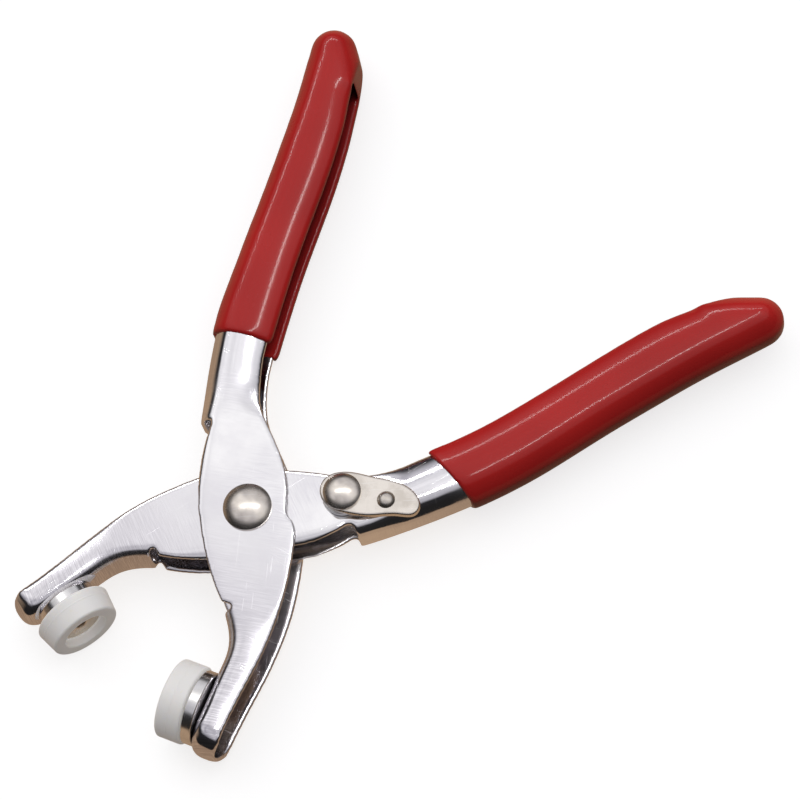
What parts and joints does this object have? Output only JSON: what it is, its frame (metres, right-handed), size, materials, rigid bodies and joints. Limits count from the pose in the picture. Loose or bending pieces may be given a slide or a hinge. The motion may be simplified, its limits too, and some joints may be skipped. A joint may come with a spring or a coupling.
{
  "type": "snap setting press",
  "caption": "Hand press for setting snaps: crossed channel arms on a domed pivot rivet, dipped grips, ring dies facing each other on the jaws, and a swinging lock plate.",
  "frame": {"origin": "on the pivot axis, on the flat end of the pivot rivet's formed tail, which is the plane the tool lies on", "axes": "+Z along the pivot axis towards the domed rivet head, +Y along the line between the opened handles, away from the jaws, +X towards the inner arm's handle"},
  "size_m": [0.1238, 0.1518, 0.0185],
  "materials": {
    "arm_steel": "bright nickel plate over brushed steel",
    "grip_vinyl": "dipped red vinyl, glossy",
    "rivet_steel": "satin nickel",
    "latch_steel": "satin nickel",
    "washer_steel": "plain zinc",
    "spring_steel": "bright drawn wire",
    "die_steel": "turned and nickel plated",
    "post_steel": "turned",
    "ring_nylon": "off-white nylon, satin"
  },
  "bodies": {
    "inner_side": {"inner_arm": "arm_steel", "inner_grip": "grip_vinyl", "pivot_bush": "washer_steel", "return_spring": "spring_steel", "upper_die_collar": "die_steel", "upper_die_ring": "ring_nylon", "upper_die_post": "post_steel", "upper_die_fixing": "washer_steel", "latch_rivet": "rivet_steel", "latch_spacer": "washer_steel", "latch_friction_washer": "washer_steel"},
    "outer_side": {"outer_arm": "arm_steel", "outer_grip": "grip_vinyl", "pivot_rivet": "rivet_steel", "pivot_back_washer": "washer_steel", "lower_die_collar": "die_steel", "lower_die_ring": "ring_nylon", "lower_die_post": "post_steel", "lower_die_fixing": "washer_steel"},
    "lock_plate": {"latch_lever": "latch_steel"}
  },
  "joints": [
    {"name": "arm_pivot", "type": "hinge", "parent": "inner_side", "child": "outer_side", "pos_m": [0, 0, 0.0085], "axis": [0, 0, -1], "range_deg": [0, 32], "stiffness_Nm_per_rad": 0.3, "springref_deg": -20.05, "deforming": ["return_spring"]},
    {"name": "lock_pivot", "type": "hinge", "parent": "inner_side", "child": "lock_plate", "pos_m": [0.01441, 0.01417, 0.015], "axis": [0, 0, -1], "range_deg": [0, 134]}
  ]
}
